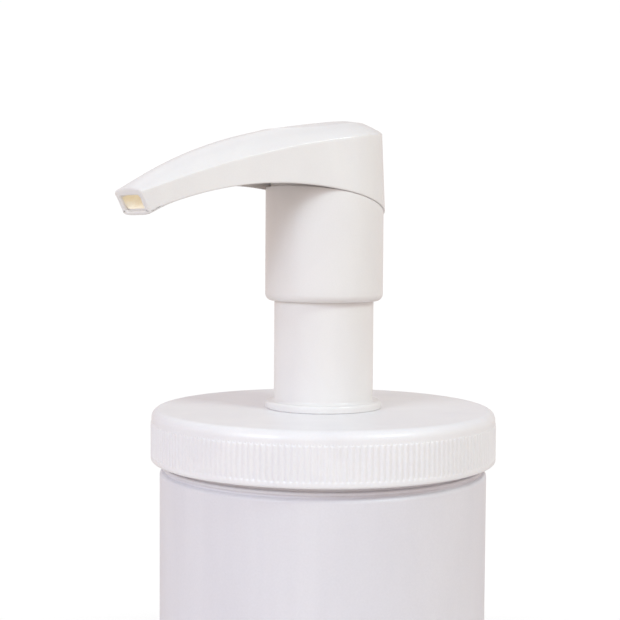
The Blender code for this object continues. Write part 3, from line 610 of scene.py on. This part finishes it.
def planOutline(inset):
    # the head from above: mouth, side, round back, other side, mouth
    radius = head["radius"] - inset
    half = head["mouthHalf"] - inset
    reach = math.hypot(head["reach"], half)
    taper = math.asin(radius / reach) - math.atan2(half, head["reach"])
    touch = Vector((radius * math.sin(taper), radius * math.cos(taper)))
    tip = Vector((head["reach"], half))
    count = head["sideSteps"]
    side = [tip.lerp(touch, i / count) for i in range(count)]
    sweep = math.pi + 2 * taper
    back = [Vector((radius * math.cos(a), radius * math.sin(a)))
            for a in (math.pi / 2 - taper + sweep * i / head["backSteps"]
                      for i in range(head["backSteps"] + 1))]
    return side + back + [Vector((p.x, -p.y)) for p in reversed(side)]


def coverSkin(wall, sideRows, bendRows, topRows, dished):
    # rows of points from the lower edge, up the side, round the edge and over to the middle
    low, high, edge = [], [], []
    for p in planOutline(wall):
        low.append(Vector((-(p.x - leanAt(p.x)), p.y, archZ(p.x - leanAt(p.x)))))
    for inset, drop, row in ((0, head["edge"], high), (head["edge"], 0, edge)):
        for p in planOutline(wall + inset):
            height = sideEdgeZ(p.x) - archZ(p.x)
            squeeze = 1 - head["draft"] * height / max(p.length, head["mouthHalf"])
            x = -(p.x * (squeeze if p.x < 0 else 1)) - leanAt(p.x)
            row.append(Vector((x, p.y * squeeze, sideEdgeZ(p.x + leanAt(p.x)) - wall - drop)))
    rows = [[a.lerp(b, i / sideRows) for a, b in zip(low, high)] for i in range(sideRows + 1)]
    # round the edge so that it meets the side upright and the top at the crown's own slope
    for i in range(1, bendRows + 1):
        t = i / bendRows
        row = []
        for a, b in zip(high, edge):
            spine = Vector((min(b.x, 0), 0, b.z))
            slope = head["fullness"] * crownRise(-b.x) / (b - spine).length
            knee = Vector((a.x, a.y, b.z - min(slope, 0.9) * head["edge"]))
            row.append(a * (1 - t) ** 2 + knee * 2 * t * (1 - t) + b * t * t)
        rows.append(row)
    for i in range(1, topRows + 1):
        part = i / topRows
        row = []
        for b in edge:
            q = b.lerp(Vector((min(b.x, 0), 0, b.z)), part)
            rise = crownRise(-q.x) * (1 - (1 - part) ** head["fullness"])
            q.z = sideEdgeZ(-q.x) - wall + rise + (padDip(q.x, q.y) if dished else 0)
            row.append(q)
        rows.append(row)
    return rows


def lowerRoundAt(u):
    return head["lowerRound"] + (head["mouthLowerRound"] - head["lowerRound"]) * smoothStep(
        (u - head["reach"] + head["lowerRoundLong"]) / head["lowerRoundLong"])


def buildCover():
    shape = bmesh.new()
    outer = coverSkin(0.0, 16, 6, 28, True)
    inner = coverSkin(head["wall"], 3, 2, 8, False)
    # round the outer lower edge: the first row moves up, an arc leads to the bottom face
    arcRows = []
    bends = 5
    for k in range(bends + 1):
        t = k / bends * math.pi / 2
        row = []
        for i, corner in enumerate(outer[0]):
            size = lowerRoundAt(-corner.x)
            up = (outer[1][i] - corner).normalized() * size
            across = (inner[0][i] - corner).normalized() * size
            row.append(corner + up * (1 - math.cos(t)) + across * (1 - math.sin(t)))
        arcRows.append(row)
    outer = arcRows + outer[1:]
    # draw the open end back a little, to leave room for the mouth's lip
    for rows, size in ((outer, mouth["outerRound"]), (inner, mouth["lipDepth"])):
        for row in rows:
            for end, nextOne in ((0, 1), (-1, -2)):
                row[end] = row[end] + (row[nextOne] - row[end]).normalized() * size
    outerGrid = loft(shape, outer, wrap=False)
    innerGrid = loft(shape, inner, wrap=False)
    joinRows(shape, [outerGrid[0], innerGrid[0]], wrap=False)

    # the mouth's lip: one closed loop of points round the end of the cover
    last = len(outer[0]) - 1
    tip = [row[0] for row in outerGrid] + [row[last] for row in reversed(outerGrid[:-1])]
    back = [row[0] for row in innerGrid] + [row[last] for row in reversed(innerGrid[:-1])]
    lipLoop(shape, tip, back)
    return finishPiece("headCover", shape, "head", ["head_cover"], [pumpPlastic], 45)


mouth = {
    "openHalf": 6.9,           # half the opening's width
    "openLow": 0.95,           # opening's floor above the cover's lower edge
    "openHigh": 2.0,           # opening's top below the side edge
    "openCorner": 1.3,
    "outerRound": 0.7,
    "innerRound": 0.45,
    "roundSteps": 5,
    "lipDepth": 1.0,
    "floorPoints": 22,
    "floorSag": 0.45,          # the lower lip bulges down by this
}


def mouthFrame():
    # the middle of the mouth, its upward direction along the cut, and the way out
    lowPoint = Vector((-(head["reach"] - head["mouthLean"]), 0,
                       archZ(head["reach"] - head["mouthLean"])))
    highPoint = Vector((-(head["reach"] + head["mouthLean"]), 0,
                        sideEdgeZ(head["reach"] + head["mouthLean"])))
    up = (highPoint - lowPoint).normalized()
    tall = (highPoint - lowPoint).length
    out = Vector((-up.z, 0, up.x)) if up.z > 0 else Vector((up.z, 0, -up.x))
    return lowPoint, up, out, tall


def openingPoint(direction, halfWide, halfTall, corner):
    # where a ray from the middle of a round-cornered rectangle meets its outline
    dy, dh = direction
    low, high = 0.0, 40.0
    for _ in range(40):
        mid = (low + high) / 2
        y, h = abs(dy * mid), abs(dh * mid)
        qy, qh = max(y - halfWide + corner, 0), max(h - halfTall + corner, 0)
        inside = math.hypot(qy, qh) <= corner and y <= halfWide and h <= halfTall
        low, high = (mid, high) if inside else (low, mid)
    return dy * low, dh * low


def lipLoop(shape, tip, back):
    base, up, out, tall = mouthFrame()
    first, lastPoint = tip[-1].co / mm, tip[0].co / mm
    count = mouth["floorPoints"]
    sag = -up * mouth["floorSag"]
    floor = [shape.verts.new((first.lerp(lastPoint, i / count)
                              + sag * (1 - (2 * i / count - 1) ** 4)) * mm)
             for i in range(1, count)]
    loop = tip + floor
    flat = []
    for v in loop:
        p = v.co / mm - base
        flat.append((p.y, p.dot(up)))
    halfTall = (tall - mouth["openLow"] - mouth["openHigh"]) / 2
    middle = mouth["openLow"] + halfTall
    opening = []
    for y, h in flat:
        far = math.hypot(y, h - middle)
        opening.append(openingPoint((y / far, (h - middle) / far), mouth["openHalf"], halfTall,
                                    mouth["openCorner"]))
    loops = [loop]

    def addLoop(points):
        loops.append([shape.verts.new(p * mm) for p in points])

    def at(y, h, forward):
        return base + Vector((0, y, 0)) + up * h + out * forward

    # outer rounding, the flat face, the inner rounding and the throat
    size = mouth["outerRound"]
    bends = mouth["roundSteps"]
    for k in range(1, bends + 1):
        t = k / bends * math.pi / 2
        points = []
        for (y, h), (oy, oh) in zip(flat, opening):
            far = math.hypot(oy - y, oh + middle - h)
            step = size * (1 - math.cos(t)) / far
            points.append(at(y + (oy - y) * step, h + (oh + middle - h) * step,
                             size * math.sin(t) - size))
        addLoop(points)
    small = mouth["innerRound"]
    for k in range(bends + 1):
        t = k / bends * math.pi / 2
        points = []
        for (y, h), (oy, oh) in zip(flat, opening):
            far = math.hypot(oy - y, oh + middle - h)
            step = 1 - small * (1 - math.sin(t)) / far
            points.append(at(y + (oy - y) * step, h + (oh + middle - h) * step,
                             small * math.cos(t) - small))
        addLoop(points)
    addLoop([at(oy, oh + middle, -mouth["lipDepth"]) for oy, oh in opening])
    joinRows(shape, loops)
    throat = loops[-1]
    # close behind: sides and top go to the cover's inner skin, the floor to its own start
    wide = [(back[min(round(i * (len(back) - 1) / (len(tip) - 1)), len(back) - 1)])
            for i in range(len(tip))]
    closing = wide + floor
    for i in range(len(loop)):
        j = (i + 1) % len(loop)
        corners = [throat[i], throat[j], closing[j], closing[i]]
        corners = [v for n, v in enumerate(corners) if v not in corners[:n]]
        if len(corners) > 2:
            shape.faces.new(corners)
    shape.faces.new((tip[-1], floor[0], back[-1]))
    shape.faces.new((tip[0], back[0], floor[-1]))


buildCover()

sleeve = {
    "steps": 240,
    "wall": 3.0,
    "lipRound": 2.6,
    "rebate": 1.8,             # the cover's skirt sits in a step this deep
    "gap": 0.1,                # between its shoulder and the cover's edge
    "edge": 0.18,
    "wallRows": 18,
}


def buildSleeve():
    radius, lip, top = sleeveHigh.x, sleeveLow.z, sleeveHigh.z
    bore = radius - sleeve["wall"]
    tail = radius - sleeve["rebate"]
    edge = sleeve["edge"]
    size = sleeve["lipRound"]
    angles = [2 * math.pi * i / sleeve["steps"] for i in range(sleeve["steps"])]

    def row(r, height):
        return [Vector((r * math.cos(a), r * math.sin(a), height(r, a))) for a in angles]

    def level(z):
        return lambda r, a: z

    def seam(down):
        # just under the cover's edge, whatever the radius
        return lambda r, a: archZ(-r * math.cos(a)) - sleeve["gap"] - down

    rows = [row(bore, level(lip + 0.3)), row(bore + 0.3, level(lip))]
    rows += [row(r, level(z)) for r, z in arcPoints(radius - size, lip + size, size, -90, 0, 9)]
    for i in range(1, sleeve["wallRows"]):
        share = i / sleeve["wallRows"]

        def wall(r, a, share=share):
            return (lip + size) * (1 - share) + (seam(edge)(radius, a)) * share
        rows.append(row(radius, wall))
    rows += [row(radius - edge * (1 - math.cos(t)), seam(edge * (1 - math.sin(t))))
             for t in (0, 0.4, 0.8, 1.2, math.pi / 2)]
    rows += [row(tail + 0.1, seam(0)), row(tail, seam(-0.1))]
    rows += [row(tail, level(top - 0.4)), row(tail - 0.4, level(top)),
             row(bore + 0.3, level(top)), row(bore, level(top - 0.3))]
    rows += [row(bore, level(top - 0.3 - (top - lip - 0.6) * i / 8)) for i in range(1, 8)]
    shape = bmesh.new()
    grid = loft(shape, rows)
    joinRows(shape, [grid[-1], grid[0]])
    return finishPiece("pumpSleeve", shape, "head", ["sleeve"], [pumpPlastic])


buildSleeve()

duct = {
    "backU": -9.8,
    "half": 9.8,               # half width over the stem
    "mouthHalf": 7.7,
    "wall": 0.9,
    "corner": 1.3,
    "topDrop": 1.99,           # flat top below the side edge
    "mouthTopDrop": 1.4,
    "rampPast": 0.65,          # ramp starts this far past the sleeve
    "rampLong": 7.0,
    "overEdge": 0.45,          # underside above the cover's edge
    "lastPart": 0.7,           # share of the reach where the mouth's section begins to form
    "stations": 40,
    "hubRadius": 8.7,
    "hubDepth": 10.0,
    "seatRadius": 12.6,
    "stemBore": 6.8,
}


def roundedSection(half, low, high, corner, x, shift):
    # points round a round-cornered rectangle across the spout, leaning by shift at its top
    corner = min(corner, half * 0.9, (high - low) * 0.45)
    points = []
    wide = half - corner
    for cy, cz, start in ((wide, high - corner, 0), (-wide, high - corner, 90),
                          (-wide, low + corner, 180), (wide, low + corner, 270)):
        for k in range(7):
            a = math.radians(start + 15 * k)
            y, z = cy + corner * math.cos(a), cz + corner * math.sin(a)
            lean = shift * (2 * (z - low) / (high - low) - 1)
            points.append(Vector((-x - lean, y, z)))
    return points


def ductSection(u, inset):
    along = max(u, 0) / head["reach"]
    half = duct["half"] + (duct["mouthHalf"] - duct["half"]) * along
    fall = smoothStep((u - head["radius"] + head["ledge"] - duct["rampPast"]) / duct["rampLong"])
    low = head["ductZ"] + (archZ(u - leanAt(u)) + duct["overEdge"] - head["ductZ"]) * fall
    late = smoothStep((along - duct["lastPart"]) / 0.3)
    drop = duct["topDrop"] + (duct["mouthTopDrop"] - duct["topDrop"]) * late
    high = sideEdgeZ(u + leanAt(u)) - drop
    if inset:
        near = smoothStep((along - duct["lastPart"]) / 0.25)
        half -= duct["wall"] + (duct["mouthHalf"] - duct["wall"] - mouth["openHalf"] - 0.2) * near
        low += duct["wall"]
        high -= duct["wall"] - 0.35 * near
    return roundedSection(half, low, high, duct["corner"] - (0.2 if inset else 0), u, leanAt(u))


def meshOf(piece):
    # the piece's mesh with its modifiers made real
    graph = bpy.context.evaluated_depsgraph_get()
    return bpy.data.meshes.new_from_object(piece.evaluated_get(graph))


def rawPiece(shape):
    bmesh.ops.remove_doubles(shape, verts=shape.verts, dist=1e-7)
    bmesh.ops.recalc_face_normals(shape, faces=shape.faces)
    mesh = bpy.data.meshes.new("raw")
    shape.to_mesh(mesh)
    shape.free()
    piece = bpy.data.objects.new("raw", mesh)
    bpy.context.scene.collection.objects.link(piece)
    return piece


def closedLoft(rows):
    shape = bmesh.new()
    grid = loft(shape, rows)
    shape.faces.new(grid[0])
    shape.faces.new(list(reversed(grid[-1])))
    return rawPiece(shape)


def carve(piece, tool, operation):
    cut = piece.modifiers.new("cut", "BOOLEAN")
    cut.operation, cut.solver, cut.object = operation, "EXACT", tool
    piece.data = meshOf(piece)
    piece.modifiers.clear()
    bpy.data.objects.remove(tool)


def buildDuct():
    behindLip = mouth["lipDepth"] + 0.1
    end = head["reach"] - behindLip
    start = duct["backU"]
    count = duct["stations"]
    stations = [start + (end - start) * i / count for i in range(count + 1)]
    body = closedLoft([ductSection(u, False) for u in stations])
    z, r = head["ductZ"], duct["hubRadius"]
    hubLow = z - duct["hubDepth"]
    seat = duct["seatRadius"]
    hubOutline = [(0, hubLow), (r - 0.4, hubLow), (r, hubLow + 0.4), (r, z - 3.1),
                  (seat - 0.3, z - 3.1), (seat, z - 2.8), (seat, z - 1.9),
                  (seat - 0.3, z - 1.6), (r, z - 1.6), (r, z + 0.45), (0, z + 0.45)]
    carve(body, closedLoft([ring(max(p, 1e-4), h, 64) for p, h in hubOutline]), "UNION")
    inner = [start + duct["wall"] + (end - start - duct["wall"]) * i / count
             for i in range(count + 1)]
    inner[-1] = end + 0.4
    carve(body, closedLoft([ductSection(u, True) for u in inner]), "DIFFERENCE")
    bore = duct["stemBore"]
    drill = [(1e-4, hubLow - 1), (bore + 0.4, hubLow - 1), (bore + 0.4, hubLow),
             (bore, hubLow + 0.4), (bore, z + 1.8), (1e-4, z + 1.8)]
    carve(body, closedLoft([ring(p, h, 64) for p, h in drill]), "DIFFERENCE")
    shape = bmesh.new()
    shape.from_mesh(body.data)
    bpy.data.objects.remove(body)
    # faces that look towards the channel's middle take the finish with the painted warm tone and
    # painted glow
    shape.normal_update()
    for face in shape.faces:
        c = face.calc_center_median() / mm
        if start + 0.5 < -c.x < end - 0.02 and abs(face.normal.x) < 0.9:
            section = ductSection(-c.x, True)
            lowest, highest = min(p.z for p in section), max(p.z for p in section)
            towards = Vector((0, -c.y, (lowest + highest) / 2 - c.z)).dot(face.normal)
            face.material_index = 1 if towards > 0 and c.z > lowest - 1.5 else 0
    return finishPiece("spoutDuct", shape, "head", ["spout_duct"], [pumpPlastic, channelPlastic],
                       35)


buildDuct()

print("return spring")
springLow, springHigh = boxMm("return_spring")
spring = {
    "wire": 0.8,               # radius
    "turns": 8,
    "closed": 1.06,            # pitch of a closed turn over the wire's diameter
    "perTurn": 48,
    "sides": 12,
    "pressed": 35.0,           # the pump's stroke
}


def buildSpring():
    wire = spring["wire"]
    radius = springHigh.x - wire
    low, high = springLow.z, springHigh.z
    shut = 2 * wire * spring["closed"]
    turns = spring["turns"]
    openPitch = (high - low - 2 * wire - 2 * shut) / (turns - 2)
    rows = []
    total = turns * spring["perTurn"]
    for i in range(total + 1):
        turn = i / spring["perTurn"]
        rise = (shut * min(turn, 1) + openPitch * min(max(turn - 1, 0), turns - 2)
                + shut * max(turn - turns + 1, 0))
        a = 2 * math.pi * turn
        out = Vector((math.cos(a), math.sin(a), 0))
        centre = out * radius + Vector((0, 0, low + wire + rise))
        # the ends are ground to a point so that the spring stands square
        size = wire * (0.55 + 0.45 * smoothStep(min(i, total - i) / (0.5 * spring["perTurn"])))
        rows.append([centre + out * math.cos(b) * size + Vector((0, 0, math.sin(b) * size))
                     for b in (2 * math.pi * k / spring["sides"] for k in range(spring["sides"]))])
    shape = bmesh.new()
    grid = loft(shape, rows)
    shape.faces.new(grid[0])
    shape.faces.new(list(reversed(grid[-1])))
    piece = finishPiece("returnSpring", shape, "lid", ["return_spring"], [springSteel])
    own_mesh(piece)


buildSpring()

print("finishes on the inner pieces")
innerFinish = {
    "lid_liner": linerFoam, "collar_gasket": sealRubber, "stem_wiper": sealRubber,
    "piston_seal": sealRubber, "dip_tube": tubePlastic, "inlet_ball": ballSteel,
    "outlet_ball": ballSteel, "pump_barrel": pumpPlastic, "stem_guide_bush": pumpPlastic,
    "foot_valve_cap": pumpPlastic, "inlet_ball_cage": pumpPlastic, "piston": pumpPlastic,
    "piston_stem": pumpPlastic, "stem_foot_seat": pumpPlastic, "outlet_ball_cage": pumpPlastic,
}
for nodeName, finish in innerFinish.items():
    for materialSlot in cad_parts[nodeName].material_slots:
        materialSlot.material = finish

print("floor, light and camera")
studio = {
    "floorColour": "#F7F7F6",
    "floorRings": (0.02, 0.1, 0.2, 0.3, 0.4, 0.5, 0.6),     # metres
    "clearRadius": 0.13,       # the floor fades out from here to three times as far
    "backdrop": 1.02,
    # the room's light by height, from straight down to straight up
    "sky": ((-1.0, "#9C958C"), (0.0, "#E6DAD5"), (1.0, "#BCB7BA")),
    "skyStrength": 1.0,
    "aim": (0, 0, 0.2),
    # name, place, width, height, watts, colour
    "softBoxes": (("keyLight", (0.26, -0.91, 1.0), 0.3, 0.3, 5.2, "#ECFFFE"),
                  ("spoutLight", (-1.1, -0.25, 0.75), 0.5, 0.5, 6.2, "#DFEEFF"),
                  ("backLight", (0.2, 0.9, 1.0), 0.8, 0.6, 0.6, "#FBFFFD")),
}
view = {
    "azimuth": math.radians(36),
    "distance": 0.46615,       # from the jar's axis, metres
    "overLid": 0.05999,
    "pan": 0.0108,             # radians, as are the next two
    "pitch": 0.0529,
    "roll": 0.0064,
    "lens": 74.573,
    "sensor": 36,
}


def buildFloor():
    shape = bmesh.new()
    grid = loft(shape, [ring(r / mm, 0, 96) for r in studio["floorRings"]])
    shape.faces.new(grid[0])
    mesh = bpy.data.meshes.new("studioFloor")
    shape.to_mesh(mesh)
    shape.free()
    floor = bpy.data.objects.new("studioFloor", mesh)
    bpy.context.scene.collection.objects.link(floor)
    material = bpy.data.materials.new("paleStudioPaper")
    material.use_nodes = True
    tree = material.node_tree
    shader = tree.nodes["Principled BSDF"]
    shader.inputs["Base Color"].default_value = toLinear(studio["floorColour"])
    shader.inputs["Roughness"].default_value = 0.9
    place = addNode(tree, "TexCoord", {})
    far = addNode(tree, "VectorMath", {"operation": "LENGTH"}, [(0, place.outputs["Object"])])
    fade = addNode(tree, "MapRange", {"interpolation_type": "SMOOTHSTEP",
                                      "From Min": studio["clearRadius"],
                                      "From Max": studio["clearRadius"] * 3},
                   [("Value", far.outputs["Value"])])
    clear = addNode(tree, "BsdfTransparent", {})
    mixed = addNode(tree, "MixShader", {}, [(0, fade.outputs["Result"]),
                                            (1, shader.outputs["BSDF"]),
                                            (2, clear.outputs["BSDF"])])
    tree.links.new(mixed.outputs["Shader"], tree.nodes["Material Output"].inputs["Surface"])
    mesh.materials.append(material)


def buildSky():
    # a white room: bright to look at, softer as light
    world = bpy.data.worlds.new("whiteStudio")
    bpy.context.scene.world = world
    world.use_nodes = True
    tree = world.node_tree
    sky = tree.nodes["Background"]
    place = addNode(tree, "TexCoord", {})
    parts = addNode(tree, "SeparateXYZ", {}, [(0, place.outputs["Generated"])])
    height = addNode(tree, "MapRange", {"From Min": -1.0, "From Max": 1.0},
                     [("Value", parts.outputs["Z"])])
    ramp = addNode(tree, "ValToRGB",
                   {"stops": [((z + 1) / 2, toLinear(c)) for z, c in studio["sky"]]},
                   [("Fac", height.outputs["Result"])])
    tree.links.new(ramp.outputs["Color"], sky.inputs["Color"])
    sky.inputs["Strength"].default_value = studio["skyStrength"]
    seen = addNode(tree, "Background", {"Color": (1, 1, 1, 1), "Strength": studio["backdrop"]})
    ray = addNode(tree, "LightPath", {})
    mixed = addNode(tree, "MixShader", {}, [(0, ray.outputs["Is Camera Ray"]),
                                            (1, sky.outputs["Background"]),
                                            (2, seen.outputs["Background"])])
    tree.links.new(mixed.outputs["Shader"], tree.nodes["World Output"].inputs["Surface"])


def addSoftBox(name, place, wide, tall, watts, colour):
    light = bpy.data.lights.new(name, "AREA")
    light.shape = "RECTANGLE"
    light.size, light.size_y = wide, tall
    light.energy = watts
    light.color = toLinear(colour)[:3]
    thing = bpy.data.objects.new(name, light)
    thing.location = place
    away = Vector(studio["aim"]) - Vector(place)
    thing.rotation_euler = away.to_track_quat("-Z", "Y").to_euler()
    bpy.context.scene.collection.objects.link(thing)


def addCamera():
    azimuth, pan, pitch, roll = (view[k] for k in ("azimuth", "pan", "pitch", "roll"))
    across = Vector((math.cos(azimuth), -math.sin(azimuth), 0))
    ahead = Vector((math.sin(azimuth), math.cos(azimuth), 0))
    place = -ahead * view["distance"]
    place.z = lidHigh.z * mm + view["overLid"]
    side = across * math.cos(pan) + ahead * math.sin(pan)
    look = ahead * math.cos(pan) - across * math.sin(pan)
    up = Vector((0, 0, 1))
    forward = look * math.cos(pitch) - up * math.sin(pitch)
    upward = look * math.sin(pitch) + up * math.cos(pitch)
    right = side * math.cos(roll) + upward * math.sin(roll)
    top = upward * math.cos(roll) - side * math.sin(roll)
    camera = bpy.data.cameras.new("camera")
    camera.sensor_width = view["sensor"]
    camera.lens = view["lens"]
    camera.clip_end = 50
    camera.dof.use_dof = False
    thing = bpy.data.objects.new("camera", camera)
    bpy.context.scene.collection.objects.link(thing)
    matrix = thing.matrix_world.copy()
    for column, direction in enumerate((right, top, -forward, place)):
        for line in range(3):
            matrix[line][column] = direction[line]
    thing.matrix_world = matrix
    bpy.context.scene.camera = thing


buildFloor()
buildSky()
for box in studio["softBoxes"]:
    addSoftBox(*box)
addCamera()
bpy.context.scene.view_settings.view_transform = "Standard"
bpy.context.scene.view_settings.look = "None"
